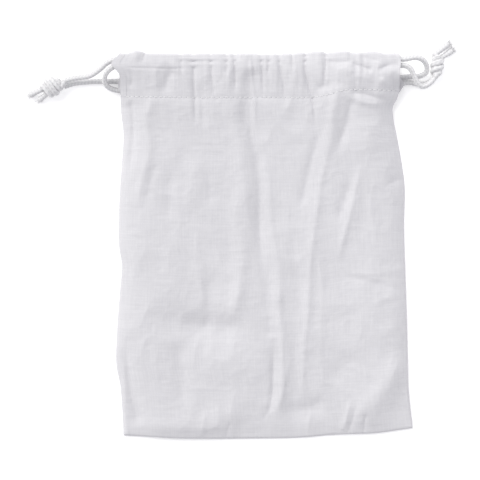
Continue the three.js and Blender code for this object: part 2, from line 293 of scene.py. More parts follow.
# Folds on the front: (height, width, places, how soon it fades at each end), in millimetres.
MAIN_FOLDS = [
    # The long valley down the middle, the swell on its left and the narrow ridge on from its right.
    (1.1, 5.5, [(-18.5, 88), (-17.9, 72), (-13.8, 61), (-11.9, 49), (-11.3, 36), (-11.3, 25), (-11.9, 10),
                (-11.3, -5), (-12.7, -19), (-14.6, -30), (-18.7, -42)], (0.15, 0.14)),
    (0.9, 5.0, [(-12, -14), (-14.4, -28), (-18.7, -42)], (0.4, 0.25)),
    (-1.4, 3.8, [(-7.6, 92), (-7.2, 76), (-7.2, 65), (-5.8, 54.6), (-3.8, 46), (-2.7, 34), (-2.1, 24),
                 (-2.1, 10), (-2.1, 0), (-0.6, -10)], (0.05, 0.25)),
    (-1.1, 4.6, [(-3, 32), (-2.1, 10), (-1, -5), (1, -17), (1.9, -28), (2.7, -42)], (0.3, 0.2)),
    (0.7, 2.6, [(1, 48), (2.4, 32), (3.1, 17), (4.5, 3), (6.4, -9)], (0.4, 0.15)),
    (1.1, 4.0, [(5, 4), (6.8, -9), (7, -21), (7.8, -34)], (0.35, 0.3)),
    (1.1, 2.5, [(7, -19), (7.6, -31), (8.8, -45), (9.4, -59), (9.3, -72), (7.8, -82), (4.6, -91)],
     (0.15, 0.2)),
    (-1.2, 2.0, [(4, -50), (4.6, -64), (4.2, -76), (2.4, -85), (-1.4, -91)], (0.35, 0.4)),
    (-0.9, 4.5, [(12, 8), (14.8, 0), (16.5, -14), (18.2, -31), (17, -40)], (0.3, 0.25)),
    (-0.7, 3.0, [(1.8, -35), (2.7, -42), (3, -48)], (0.3, 0.3)),
    # The ridge that runs down from the right of the casing, the slanting valley on its left and the
    # hollow on its right.
    (1.5, 4.0, [(39.5, 84), (37.1, 78), (34.5, 67), (33.7, 55), (31.1, 43)], (0.12, 0.35)),
    (0.85, 2.6, [(33.7, 56), (31.1, 43), (28.5, 31), (26.6, 17), (24.8, 3), (23.6, -8), (22.8, -24),
                 (22, -38), (19.8, -54), (17.4, -70)], (0.15, 0.3)),
    (-1.1, 3.4, [(30, 67), (27.7, 56), (23.4, 41), (19.9, 25), (16.5, 17)], (0.3, 0.2)),
    (-1.2, 3.2, [(45.4, 76), (44, 72), (42.3, 63), (38.8, 53), (37.1, 45)], (0.1, 0.4)),
    (-0.9, 3.4, [(44, 35), (41.4, 24), (37.1, 12)], (0.3, 0.3)),
    (0.9, 7.0, [(54, 67), (54.3, 60), (54.4, 52), (56, 45)], (0.3, 0.4)),
    (1.0, 2.5, [(50, 46), (49, 40), (46.5, 28), (43.4, 14), (39.6, 0), (38.2, -8)], (0.3, 0.2)),
    # Creases at the right edge.
    (0.25, 2.2, [(73, -12.2), (66, -13), (56, -14), (42, -15)], (0.0, 0.4)),
    (-0.35, 2.2, [(73, -23.5), (66, -21.8), (56, -18.5), (45.7, -16.6), (30, -15.6)], (0.1, 0.4)),
    (-0.7, 2.0, [(70, 60), (64, 62), (58, 61.5)], (0.0, 0.5)),
    (-0.6, 1.8, [(72, 35), (66, 33), (61, 30)], (0.0, 0.5)),
    # The wide swells and hollows of the lower half.
    (2.3, 9.0, [(42, -93), (47, -89), (56, -81), (66, -66), (71, -54)], (0.25, 0.3)),
    (-1.0, 7.0, [(48, -54), (39, -64), (33, -71)], (0.3, 0.3)),
    (-1.4, 6.0, [(33, -79), (25, -83), (14, -85), (8, -85)], (0.3, 0.3)),
    (-1.2, 6.0, [(-27.6, -10), (-28.4, -25), (-30, -40), (-37, -46), (-43.6, -50)], (0.25, 0.3)),
    (-1.2, 5.5, [(-43.6, -48), (-43, -64), (-42, -78), (-42, -86)], (0.2, 0.3)),
    (-3.2, 11.0, [(-60, -34), (-48, -39), (-36, -42), (-22, -43), (-6, -41)], (0.4, 0.3)),
    (2.0, 12.0, [(-66, -98), (-48, -96), (-30, -93), (-14, -86), (-4, -76)], (0.2, 0.3)),
    (0.6, 5.0, [(26, -40), (25, -45), (21.6, -58)], (0.3, 0.3)),
    (0.9, 10.0, [(-34, -56), (-22, -62), (-12, -72)], (0.4, 0.4)),
    # The left side.
    (-1.6, 3.4, [(-72.4, -50), (-70.4, -66), (-67.8, -80), (-63.8, -94)], (0.3, 0.15)),
    (0.5, 1.7, [(-73, -56), (-72.3, -66), (-72, -78), (-70.8, -98)], (0.2, 0.0)),
    (1.0, 3.4, [(-57.4, 80), (-58.5, 73), (-60.8, 66), (-59.4, 48), (-63.5, 33), (-66, 16)], (0.15, 0.25)),
    (-1.3, 2.3, [(-69.2, 76), (-67.6, 63), (-68.6, 48), (-70, 36)], (0.1, 0.3)),
    (-0.6, 2.8, [(-55, 45), (-60, 28), (-61, 19)], (0.3, 0.3)),
    (-0.7, 3.4, [(-47.6, 40), (-48.8, 32), (-48.8, 12)], (0.3, 0.3)),
    (0.6, 5.0, [(-35, 48), (-36, 37), (-38.5, 25), (-41, 15)], (0.3, 0.3)),
    (-0.9, 2.8, [(-33.4, 84), (-32.5, 77), (-31.6, 66), (-31.6, 59)], (0.3, 0.3)),
    (-0.6, 3.2, [(-30, 41), (-28.6, 30), (-28.2, 19)], (0.3, 0.3)),
    (0.5, 5.0, [(-56, 2), (-62, -4), (-70, -6)], (0.3, 0.3)),
    # Short creases that run up from the bottom edge.
    (0.6, 1.8, [(45, -77), (43.4, -84), (40.6, -95)], (0.4, 0.0)),
    (-0.5, 1.5, [(47.6, -80), (46, -88), (43.6, -96)], (0.4, 0.0)),
    (-0.6, 1.3, [(52.6, -85), (51.8, -90), (51.4, -96)], (0.4, 0.0)),
    (0.4, 1.8, [(-30, -84), (-31.5, -92), (-33, -99)], (0.4, 0.0)),
    (-0.4, 1.6, [(-17, -88), (-18.4, -94), (-20, -100)], (0.4, 0.0)),
    (0.4, 1.8, [(24, -84), (23, -91), (22, -99)], (0.4, 0.0)),
]

# The gathers that the cords pull into the front casing, from its top edge down.
GATHERS = [
    (-1.17, 1.5, [(-36.4, 101), (-36.2, 90), (-36.0, 78), (-35.6, 66), (-35.6, 60)], (0.0, 0.3)),
    (-1.04, 1.3, [(-27.6, 101), (-27.4, 92), (-26.4, 82), (-24.6, 75), (-24, 70)], (0.0, 0.4)),
    (-1.17, 1.1, [(-19.4, 101), (-19.4, 93), (-19.2, 85)], (0.0, 0.4)),
    (-1.17, 1.2, [(-15.2, 101), (-15.2, 92), (-14.9, 84), (-15, 77)], (0.0, 0.4)),
    (-0.8, 3.2, [(-10.9, 89), (-10.6, 84), (-10.2, 76), (-10.4, 66), (-9.6, 58)], (0.2, 0.3)),
    (0.98, 1.1, [(-7.4, 96), (-6.3, 84), (-5.3, 76), (-4.9, 68), (-4.6, 59)], (0.15, 0.4)),
    (-1.04, 1.1, [(-2, 101), (-1.6, 92), (-0.9, 84), (-0.6, 75)], (0.0, 0.4)),
    (-0.91, 1.0, [(2.9, 101), (2.2, 93), (1.4, 86)], (0.0, 0.4)),
    (-1.04, 1.2, [(7.2, 101), (8.0, 93), (9.6, 85), (10.4, 77), (11, 71)], (0.0, 0.4)),
    (-0.91, 1.1, [(14.2, 101), (14.3, 94), (14.6, 87)], (0.0, 0.5)),
    (-1.43, 1.4, [(21.6, 101), (20.6, 91), (22.4, 83), (24.8, 75), (26, 65), (27, 57)], (0.0, 0.4)),
    (-1.3, 1.4, [(32, 101), (31.2, 93), (30.8, 86), (31, 79)], (0.0, 0.3)),
    (-0.65, 1.2, [(-43, 101), (-42.8, 93), (-42.4, 84)], (0.0, 0.5)),
    (-1.1, 3.4, [(-46, 92), (-49, 87), (-51.6, 80), (-53.2, 74)], (0.2, 0.5)),
    (-0.5, 1.6, [(-68.4, 91), (-67.8, 86), (-69.6, 80)], (0.2, 0.3)),
    (0.5, 1.8, [(-66.4, 101), (-65.2, 97), (-63.8, 94)], (0.0, 0.5)),
    (-0.6, 1.2, [(-61.2, 101), (-61.4, 96), (-62.2, 92)], (0.0, 0.5)),
    # Along the cords, where the cloth sinks beside them.
    (-0.35, 0.8, [(-71, 91.4), (-60, 91.2), (-48, 90.9), (-36, 91.2)], (0.15, 0.3)),
    (-1.17, 3.0, [(26, 80), (30, 81.6), (35, 81.4)], (0.3, 0.3)),
    # The crumpled right end, where the cloth bunches against the cord's turn.
    (-0.91, 1.8, [(31, 94.6), (38, 94), (46, 95)], (0.2, 0.3)),
    (0.7, 4.0, [(36, 90), (42, 90.6), (48, 90)], (0.3, 0.3)),
    (-1.2, 1.7, [(43, 94.2), (47, 92.6), (52, 91), (56, 89.6)], (0.3, 0.2)),
    (-1.3, 1.9, [(57, 89.6), (60.4, 91.2), (64.5, 93), (69, 93)], (0.3, 0.1)),
    (-0.7, 1.5, [(48, 97.4), (54, 96), (60, 94.8)], (0.3, 0.3)),
    (0.5, 2.6, [(44, 88), (50, 86.4), (56, 85)], (0.3, 0.3)),
    (1.0, 2.4, [(58, 86), (63, 82.6), (65.4, 78.6)], (0.3, 0.3)),
    (-0.9, 1.6, [(66.6, 90), (66.8, 84), (66, 78.6)], (0.2, 0.2)),
    (-0.5, 1.2, [(44.6, 101), (44, 97), (44.2, 92)], (0.0, 0.4)),
    # The band that puckers under the right end of the stitching.
    (-1.1, 1.7, [(43, 79), (52, 77.6), (58, 76), (64, 74.6)], (0.2, 0.2)),
    (0.7, 1.5, [(46, 74.6), (53, 73.4), (61, 72)], (0.3, 0.3)),
]


def relief(x, y, folds):
    return sum(fold(x, y, *f) for f in folds)


def fine_relief(x, y, seed):
    """What the folds leave out: soft swells, crinkles and the uneven cloth itself."""
    swell = 0.6 * MM * value_noise(x, y * 0.8, 26 * MM, seed)
    crinkle = 0.31 * MM * crumple(x * 1.2, y * 0.65, 11 * MM, seed + 5)
    small = 0.085 * MM * crumple(x * 0.8, y * 1.15, 4.6 * MM, seed + 9)
    grain = 0.04 * MM * value_noise(x * 0.7, y * 1.4, 1.5 * MM, seed + 14)
    return swell + crinkle + small + grain


def pleats(x, y):
    """Small uneven pleats all along the casing, deepest in its middle, that die away below the stitching."""
    where = grown(y, 66, 20) * mix(0.35, 1.0, grown(x, -34, 12))
    wide = crumple(x, y * 0.10, 4.4 * MM, 31)
    narrow = crumple(x, y * 0.14, 2.6 * MM, 36)
    return 0.38 * MM * where * (wide + 0.5 * narrow)


def surface_relief(x, y, nearest):
    """Folds, gathers, fine creases and the pinch along the stitching, all of them fading into the seams."""
    away = smoothstep(nearest / (7 * MM))
    pinch = -0.14 * MM * np.exp(-(((y - front_stitch_line(x)) / (1.0 * MM)) ** 2))
    folds = relief(x, y, MAIN_FOLDS + GATHERS) + pleats(x, y) + pinch
    return folds * mix(0.5, 1.0, away) + fine_relief(x, y, 3) * mix(0.4, 1.0, away)


# ---------------------------------------------------------------- meshes


def grid_normals(grid):
    across = np.gradient(grid, axis=1)
    along = np.gradient(grid, axis=0)
    normals = np.cross(across, along)
    return normals / np.maximum(np.linalg.norm(normals, axis=2, keepdims=True), 1e-12)


def grid_faces(rows, columns, offset, flip):
    r, c = np.meshgrid(np.arange(rows - 1), np.arange(columns - 1), indexing="ij")
    a = offset + r * columns + c
    quads = np.stack([a, a + 1, a + columns + 1, a + columns], 2).reshape(-1, 4)
    return quads[:, ::-1] if flip else quads


def rim_faces(rows, columns, offset):
    """The narrow faces round a sheet of cloth, between its front (first) and back (offset) vertices."""
    top = [(rows - 1) * columns + c for c in range(columns - 1, -1, -1)]
    left = [r * columns for r in range(rows - 2, -1, -1)]
    bottom = list(range(1, columns))
    right = [r * columns + columns - 1 for r in range(1, rows)]
    loop = top + left + bottom + right[:-1]
    return [(b, a, a + offset, b + offset) for a, b in zip(loop, loop[1:] + loop[:1])]


def new_object(name, vertices, faces, material, smooth=True):
    mesh = bpy.data.meshes.new(name)
    mesh.from_pydata(np.asarray(vertices).tolist(), [], [tuple(int(i) for i in f) for f in faces])
    mesh.materials.append(material)
    mesh.polygons.foreach_set("use_smooth", [smooth] * len(mesh.polygons))
    obj = bpy.data.objects.new(name, mesh)
    bpy.context.scene.collection.objects.link(obj)
    return obj


def set_uv(obj, per_vertex):
    layer = obj.data.uv_layers.new(name="cloth")
    corners = np.empty(len(obj.data.loops), int)
    obj.data.loops.foreach_get("vertex_index", corners)
    layer.data.foreach_set("uv", np.asarray(per_vertex)[corners].astype(np.float32).ravel())


def cloth_piece(name, grid, normals, uv, thickness, material):
    """A closed sheet of cloth. Its normals are the uncut sheet's, so that halves meet smoothly."""
    rows, columns = grid.shape[:2]
    count = rows * columns
    half = np.asarray(thickness)[..., None] / 2 if np.ndim(thickness) else thickness / 2
    outer = (grid + normals * half).reshape(-1, 3)
    inner = (grid - normals * half).reshape(-1, 3)
    front = grid_faces(rows, columns, 0, False)
    back = grid_faces(rows, columns, count, True)
    rim = np.array(rim_faces(rows, columns, count))
    obj = new_object(name, np.vstack([outer, inner]), np.vstack([front, back, rim]), material)
    set_uv(obj, np.vstack([uv.reshape(-1, 2)] * 2))
    vertex_normals = np.vstack([normals.reshape(-1, 3), -normals.reshape(-1, 3)])
    corners = np.empty(len(obj.data.loops), int)
    obj.data.loops.foreach_get("vertex_index", corners)
    loop_normals = vertex_normals[corners]
    first_rim_loop = 4 * (len(front) + len(back))
    rim_points = np.vstack([outer, inner])[rim]
    rim_normals = np.cross(rim_points[:, 1] - rim_points[:, 0], rim_points[:, 3] - rim_points[:, 0])
    rim_normals /= np.maximum(np.linalg.norm(rim_normals, axis=1, keepdims=True), 1e-12)
    loop_normals[first_rim_loop:] = np.repeat(rim_normals, 4, 0)
    obj.data.normals_split_custom_set(loop_normals.tolist())
    return obj


def tube(path, radius, ring, relief_at=None):
    """Vertices, faces and UVs of a closed tube along a path, its section turned as little as possible."""
    tangents = np.gradient(path, axis=0)
    tangents /= np.linalg.norm(tangents, axis=1, keepdims=True)
    side = np.cross(tangents[0], (0, 0, 1.0))
    if np.linalg.norm(side) < 1e-3:
        side = np.cross(tangents[0], (0, 1.0, 0))
    side /= np.linalg.norm(side)
    sides = [side]
    for t in tangents[1:]:
        side = side - t * (side @ t)
        side = side / np.linalg.norm(side)
        sides.append(side)
    sides = np.array(sides)
    ups = np.cross(tangents, sides)
    along = distances(path)
    turn = 2 * np.pi * np.arange(ring) / ring
    radii = np.broadcast_to(np.asarray(radius, float).reshape(-1, 1), (len(path), ring)).copy()
    if relief_at is not None:
        radii += relief_at(turn[None, :], along[:, None])
    ways = sides[:, None] * np.cos(turn)[None, :, None] + ups[:, None] * np.sin(turn)[None, :, None]
    vertices = (path[:, None] + ways * radii[..., None]).reshape(-1, 3)
    faces = []
    for k in range(len(path) - 1):
        base = k * ring
        for j in range(ring):
            n = (j + 1) % ring
            faces.append((base + j, base + n, base + ring + n, base + ring + j))
    uv = np.stack([np.tile(turn * CORD_RADIUS, len(path)), np.repeat(along, ring)], 1)
    faces.append(tuple(range(ring - 1, -1, -1)))
    faces.append(tuple(range(len(vertices) - ring, len(vertices))))
    return vertices, faces, uv


def joined(parts):
    """Several (vertices, faces, uv) as one."""
    vertices, faces, uvs, offset = [], [], [], 0
    for v, f, uv in parts:
        vertices.append(v)
        uvs.append(uv)
        faces.extend(tuple(i + offset for i in face) for face in f)
        offset += len(v)
    return np.vstack(vertices), faces, np.vstack(uvs)


# ---------------------------------------------------------------- materials


class Nodes:
    """A short way to write a material's node tree."""

    def __init__(self, name):
        self.material = bpy.data.materials.new(name)
        self.material.use_nodes = True
        self.tree = self.material.node_tree
        self.shader = self.tree.nodes["Principled BSDF"]

    def value(self, socket, source):
        if hasattr(source, "is_output"):
            self.tree.links.new(source, socket)
        else:
            socket.default_value = source

    def math(self, operation, a, b=0.0, c=0.0):
        node = self.tree.nodes.new("ShaderNodeMath")
        node.operation = operation
        for socket, source in zip(node.inputs, (a, b, c)):
            self.value(socket, source)
        return node.outputs[0]

    def uv(self):
        node = self.tree.nodes.new("ShaderNodeUVMap")
        node.uv_map = "cloth"
        split = self.tree.nodes.new("ShaderNodeSeparateXYZ")
        self.tree.links.new(node.outputs[0], split.inputs[0])
        return node.outputs[0], split.outputs[0], split.outputs[1]

    def noise(self, vector, stretch, detail=2.0):
        """Noise from 0 to 1 whose features are stretch metres along u and v."""
        mapping = self.tree.nodes.new("ShaderNodeMapping")
        mapping.inputs["Scale"].default_value = (1 / stretch[0], 1 / stretch[1], 1)
        self.tree.links.new(vector, mapping.inputs["Vector"])
        node = self.tree.nodes.new("ShaderNodeTexNoise")
        node.inputs["Scale"].default_value = 1.0
        node.inputs["Detail"].default_value = detail
        self.tree.links.new(mapping.outputs[0], node.inputs["Vector"])
        return node.outputs[0]

    def blend(self, factor, a, b):
        """A colour between a and b; either may be another node's output."""
        node = self.tree.nodes.new("ShaderNodeMix")
        node.data_type = "RGBA"
        node.clamp_factor = True
        self.tree.links.new(factor, node.inputs[0])
        for socket, source in ((node.inputs[6], a), (node.inputs[7], b)):
            self.value(socket, (*source, 1) if isinstance(source, tuple) else source)
        return node.outputs[2]

    def colour(self, output):
        self.tree.links.new(output, self.shader.inputs["Base Color"])

    def roughness(self, factor, low, high):
        spread = self.math("MULTIPLY_ADD", factor, high - low, low)
        self.tree.links.new(spread, self.shader.inputs["Roughness"])

    def bump(self, height, distance, strength=1.0):
        node = self.tree.nodes.new("ShaderNodeBump")
        node.inputs["Strength"].default_value = strength
        node.inputs["Distance"].default_value = distance
        self.tree.links.new(height, node.inputs["Height"])
        self.tree.links.new(node.outputs[0], self.shader.inputs["Normal"])


def woven_threads(n, vector, u, v, pitch):
    """How far the cloth's threads stand up, from 0 in the holes to 1, with a little waver in their lines."""
    waver = n.noise(vector, (5 * pitch, 5 * pitch), 1.0)
    shifted_u = n.math("MULTIPLY_ADD", waver, 0.9 * pitch, u)
    shifted_v = n.math("MULTIPLY_ADD", waver, -0.9 * pitch, v)
    warp = n.math("ABSOLUTE", n.math("SINE", n.math("MULTIPLY", shifted_u, np.pi / pitch)))
    weft = n.math("ABSOLUTE", n.math("SINE", n.math("MULTIPLY", shifted_v, np.pi / pitch)))
    return n.math("MULTIPLY", n.math("SQRT", warp), n.math("SQRT", weft))


def needle_holes(n, vector, u, v):
    """1 in the holes that the needle left along the stitching, where v is 0, and 0 away from them."""
    across = n.math("PINGPONG", u, STITCH_PITCH / 2)
    squared = n.math("ADD", n.math("MULTIPLY", across, across), n.math("MULTIPLY", v, v))
    near = n.math("MAXIMUM", n.math("MULTIPLY_ADD", squared, -1 / HOLE_RADIUS**2, 1.0), 0.0)
    open_or_closed = n.noise(vector, (6 * MM, 6 * MM), 1.0)
    return n.math("MULTIPLY", near, n.math("MULTIPLY_ADD", open_or_closed, 2.4, -0.6))


def muslin_material():
    """Loose plain weave: single threads, thick and thin ones, and faint clouds where the cloth is denser."""
    n = Nodes("muslin")
    vector, u, v = n.uv()
    threads = woven_threads(n, vector, u, v, WEAVE_PITCH)
    warp_slubs = n.noise(vector, (SLUB_WIDTH, SLUB_LENGTH), 3.0)
    weft_slubs = n.noise(vector, (SLUB_LENGTH, SLUB_WIDTH), 3.0)
    clouds = n.noise(vector, (CLOUD_SIZE, CLOUD_SIZE), 2.0)
    slubs = n.math("ADD", warp_slubs, weft_slubs)
    shade = n.math("MULTIPLY_ADD", slubs, 0.5, n.math("MULTIPLY_ADD", threads, 0.26, -0.2))
    shade = n.math("MULTIPLY_ADD", clouds, 0.12, shade)
    holes = needle_holes(n, vector, u, v)
    n.colour(n.blend(holes, n.blend(shade, MUSLIN_DARK, MUSLIN_LIGHT), HOLE_COLOUR))
    n.roughness(slubs, 0.88, 0.96)
    height = n.math("MULTIPLY_ADD", slubs, 0.7, threads)
    n.bump(height, 0.10 * MM, 0.8)
    shader = n.shader
    shader.inputs["Specular IOR Level"].default_value = 0.18
    shader.inputs["Sheen Weight"].default_value = 0.12
    shader.inputs["Sheen Roughness"].default_value = 0.6
    return n.material


def cord_material():
    """Soft spun cotton: fine fibres along the strands, with painted shade in the grooves of the braid and
    between its strands.
    """
    n = Nodes("cotton_cord")
    vector, u, v = n.uv()
    fibres = n.noise(vector, (FIBRE_WIDTH, FIBRE_LENGTH), 3.0)
    # The fibres are the cord's own tone; the row and tick terms are painted shade, darker in the grooves
    # between the braid's rows and between its slanting strands.
    row = n.math("ABSOLUTE", n.math("COSINE", n.math("MULTIPLY", u, 2 / CORD_RADIUS)))
    slanted = n.math("MULTIPLY_ADD", n.math("MULTIPLY", row, row), BRAID_SLANT * BRAID_PITCH, v)
    ticks = n.math("COSINE", n.math("MULTIPLY", slanted, 2 * np.pi / BRAID_PITCH))
    shade = n.math("MULTIPLY_ADD", ticks, 0.13, n.math("MULTIPLY_ADD", fibres, 0.5, 0.0))
    shade = n.math("MULTIPLY_ADD", n.math("SQRT", row), 0.55, shade)
    n.colour(n.blend(shade, CORD_DARK, CORD_LIGHT))
    n.roughness(fibres, 0.84, 0.97)
    n.bump(fibres, 0.12 * MM, 0.9)
    n.shader.inputs["Specular IOR Level"].default_value = 0.15
    n.shader.inputs["Sheen Weight"].default_value = 0.1
    return n.material


def thread_material():
    n = Nodes("sewing_thread")
    _, u, v = n.uv()
    twist = n.math("SINE", n.math("MULTIPLY", n.math("ADD", u, v), 2 * np.pi / THREAD_TWIST))
    shade = n.math("MULTIPLY_ADD", twist, 0.25, 0.6)
    n.colour(n.blend(shade, THREAD_DARK, THREAD_LIGHT))
    n.roughness(shade, 0.5, 0.7)
    n.bump(twist, 0.03 * MM, 0.6)
    return n.material


MUSLIN = muslin_material()
CORD = cord_material()
THREAD = thread_material()


# ---------------------------------------------------------------- the sheets of the body


def spread_columns():
    """Grid lines across the bag, closer together near its two edges, where the cloth turns."""
    t = np.linspace(0, 1, CLOTH_COLUMNS)
    return mix(t, 0.5 - 0.5 * np.cos(np.pi * t), 0.45)


ACROSS = spread_columns()


def edge_distances(x, y, low, left, right):
    return x - left(y), right(y) - x, y - low


def front_base(x, y, low):
    """The front sheet without its folds, and how far each place is from the nearest seam."""
    a, b, c = edge_distances(x, y, low, left_edge, right_edge)
    nearest = np.minimum(np.minimum(a, b), c)
    ramps = 1.0
    for d, ramp in ((a, EDGE_RAMP), (b, EDGE_RAMP), (c, BOTTOM_RAMP)):
        ramps = ramps * (1 - np.exp(-((np.maximum(d, 0) / ramp) ** RAMP_POWER)))
    mouthward = smoothstep((y + 20 * MM) / (STITCH_Y + 45 * MM))
    mouth_loft = MOUTH_LOFT + STITCH_PUFF * grown(x, 8, 30)
    body_loft = BODY_LOFT - BOTTOM_SINK * (1 - grown(c, 0, 60))
    loft = mix(body_loft, mouth_loft, mouthward)
    rounded = np.sqrt(1 - (1 - np.clip(nearest / EDGE_BULGE_WIDTH, 0, 1)) ** 2)
    slit = SLIT_LIFT * grown(y, 56, 20)
    beside = np.exp(-np.maximum(np.minimum(a, b), 0) / EDGE_RAMP)
    over_cords = CORD_LIFT * grown(y, 70, 9) * beside
    return SEAM_EDGE_Z + slit + over_cords + EDGE_BULGE * rounded + loft * ramps, nearest


def front_height(x, y, low):
    """The front sheet's height: seams lie low round it, and the folds run over the raised middle."""
    base, nearest = front_base(x, y, low)
    return base + surface_relief(x, y, nearest)


def back_height(x, y, low):
    """The back sheet lies on the surface, and only its edges lift to meet the front."""
    a, b, c = edge_distances(x, y, low, left_edge, back_right_edge)
    nearest = np.minimum(np.minimum(a, b), c)
    lift = 0.28 * MM * np.exp(-nearest / (2.2 * MM))
    ripple = np.maximum(0, crumple(x, y, 16 * MM, 41)) * 0.5 * MM * grown(nearest, 0, 9)
    return BACK_REST_Z + lift + ripple


def panel_grid(height, right, stitch):
    """A body panel from its bottom edge to the stitching, as a grid of points."""
    along = np.linspace(0, 1, PANEL_ROWS)
    along = mix(along, np.sin(along * np.pi / 2) ** 2, 0.25)
    v, u = np.meshgrid(along, ACROSS, indexing="ij")
    y = mix(BOTTOM, STITCH_Y, v)
    for _ in range(2):
        x = mix(left_edge(y), right(y), u)
        low = bottom_edge(x)
        y = mix(low, stitch(x), v)
    z = height(x, y, low)
    return np.stack([x, y, z], 2)


def flat_uv(grid, measured_rows=None, zero_row=0):
    """Distances along the cloth, so that the weave keeps its size on it; v is 0 on the zero row."""
    across = np.linalg.norm(np.diff(grid[:measured_rows, :, :2], axis=1), axis=2).mean(0)
    along = np.linalg.norm(np.diff(grid, axis=0), axis=2).mean(1)
    u = np.concatenate([[0], np.cumsum(across)])
    v = np.concatenate([[0], np.cumsum(along)])
    v, u = np.meshgrid(v - v[zero_row], u, indexing="ij")
    return np.stack([u, v], 2)


# ---------------------------------------------------------------- the casings


def casing_profile(knots, samples):
    """One smooth section per column through its knots.

    knots is (how many, columns, 2), and the result is (samples, columns, 2).
    """
    k = len(knots)
    padded = np.concatenate([[2 * knots[0] - knots[1]], knots, [2 * knots[-1] - knots[-2]]])
    at = np.linspace(0, k - 1 - 1e-9, samples)
    i = at.astype(int)
    t = (at - i)[:, None, None]
    p0, p1, p2, p3 = padded[i], padded[i + 1], padded[i + 2], padded[i + 3]
    squared = (2 * p0 - 5 * p1 + 4 * p2 - p3) * t**2
    cubed = (3 * p1 - p0 - 3 * p2 + p3) * t**3
    return 0.5 * (2 * p1 + (p2 - p0) * t + squared + cubed)


def smooth_max(a, b, softness):
    return 0.5 * (a + b + np.sqrt((a - b) ** 2 + softness**2))


def front_casing_grid(panel):
    """The front sheet above the stitching: up over the cords, round the top edge and back down inside."""
    x, y0, _ = panel[-1].T
    base, nearest = front_base(x, y0, bottom_edge(x))
    turn_y = top_edge(x) - FOLD_RADIUS
    t = np.linspace(0, 1, OUTER_ROWS)[:, None]
    outer_y = mix(y0, turn_y, t)
    crest_y = mix(CASING_CREST_Y[0], CASING_CREST_Y[1], grown(x, -25, 75))
    crest = CASING_CREST + CASING_PUFF * grown(x, 12, 30)
    rise = np.clip((outer_y - y0) / (crest_y - y0), 0, 1)
    rise = mix(smoothstep(rise), 1 - (1 - rise) ** 1.4, 0.6)
    beyond = np.clip((outer_y - crest_y) / (turn_y - crest_y), 0, 1)
    outer_z = mix(base, crest, rise) - (CASING_DROP + crest - CASING_CREST) * beyond**1.6
    xs = np.broadcast_to(x, outer_y.shape)
    outer_z = outer_z + surface_relief(xs, outer_y, np.broadcast_to(nearest, outer_y.shape))
    for cord_y in FRONT_RUN_Y:
        over_cord = OVER_CORD_Z - (outer_y - cord_y) ** 2 / (2.0 * MM)
        outer_z = smooth_max(outer_z, over_cord, 0.6 * MM)
    crest_z = outer_z[-1]
    angle = np.linspace(0, np.pi, FOLD_ROWS)[1:, None]
    drop = (crest_z - INNER_PLY_Z) / 2
    fold_y = turn_y + FOLD_RADIUS * np.sin(angle)
    fold_z = crest_z - drop * (1 - np.cos(angle))
    s = np.linspace(0, 1, CASING_ROWS - OUTER_ROWS - FOLD_ROWS + 2)[1:, None]
    inner_y = mix(turn_y, y0 - 1.2 * MM, s)
    fall = np.clip((inner_y - y0) / (91.0 * MM - y0), 0, 1)
    climb = smoothstep(fall) * 0.3 + 0.7 * (1 - (1 - fall) ** 1.5)
    inner_z = mix(base - 0.9 * MM, INNER_PLY_Z, climb)
    below = surface_relief(xs[:1], y0[None, :], nearest[None, :])
    uneven_ply = 0.3 * MM * np.abs(value_noise(x, inner_y, 5 * MM, 77))
    inner_z = inner_z + below * (1 - smoothstep(fall)) - uneven_ply
    ys = np.vstack([outer_y, fold_y, inner_y])
    zs = np.vstack([outer_z, fold_z, inner_z])
    near_top = np.exp(-(((ys - top_edge(x)) / (2.2 * MM)) ** 2))
    ripple = relief(xs[:1], top_edge(x)[None, :], GATHERS)
    ys = ys + 0.4 * ripple * near_top
    return np.stack([np.broadcast_to(x, ys.shape), ys, zs], 2)


def back_casing_grid(panel):
    """The back sheet above the stitching: under the cords, round the top edge, and back over them."""
    start = panel[-1]
    x, y0, z0 = start[:, 0], start[:, 1], start[:, 2]
    columns = len(x)
    top = BACK_TOP_Y + 0.5 * MM * value_noise(x, x * 0, 9 * MM, 51)

    def knot(y, z):
        return np.stack([np.broadcast_to(y, columns), np.broadcast_to(z, columns)], 1)

    rest = CLOTH / 2 + 0.04 * MM
    bend = grown(x, 57, 11)  # towards the right end, where the cords bend to the mouth
    knots = np.array([
        knot(y0, z0),
        knot(78.5 * MM, rest + 0.05 * MM),
        knot(83.0 * MM, rest),
        knot(89.0 * MM, rest),
        knot(top - 1.2 * MM, rest + 0.1 * MM),
        knot(top, 0.95 * MM),
        knot(top - 1.0 * MM, 1.75 * MM),
        knot(92.0 * MM, 1.4 * MM),
        knot(88.6 * MM + 1.4 * MM * bend, 1.9 * MM),
        knot(86.6 * MM + 1.4 * MM * bend, 3.6 * MM),
        knot(84.9 * MM, 4.0 * MM),
        knot(82.7 * MM, 3.7 * MM + 0.25 * MM * bend),
        knot(80.4 * MM, 3.95 * MM),
        knot(78.6 * MM, 2.9 * MM),
        knot(77.2 * MM, 1.5 * MM),
        knot(y0 - 1.0 * MM, z0 + 0.75 * MM),
    ])
    section = casing_profile(knots, CASING_ROWS)
    xs = np.broadcast_to(x, section.shape[:2]).copy()
    ys, zs = section[..., 0], section[..., 1]
    share = np.linspace(0, 1, CASING_ROWS)[:, None]
    inner = smoothstep((share - 0.36) / 0.08)
    waves = np.abs(np.sin(xs / (6.3 * MM) * np.pi + 1.3 * value_noise(xs, ys * 0.3, 15 * MM, 61)))
    waves = waves * (0.35 + 0.65 * np.clip(0.6 + value_noise(xs, ys * 0, 22 * MM, 62), 0, 1))
    zs = zs + inner * (0.75 * MM * waves + 0.12 * MM * crumple(xs, ys, 6 * MM, 63))
    near_top = np.exp(-(((ys - top[None, :]) / (2.5 * MM)) ** 2))
    ys = ys + 0.7 * MM * near_top * (waves - 0.5)
    return np.stack([xs, ys, zs], 2)


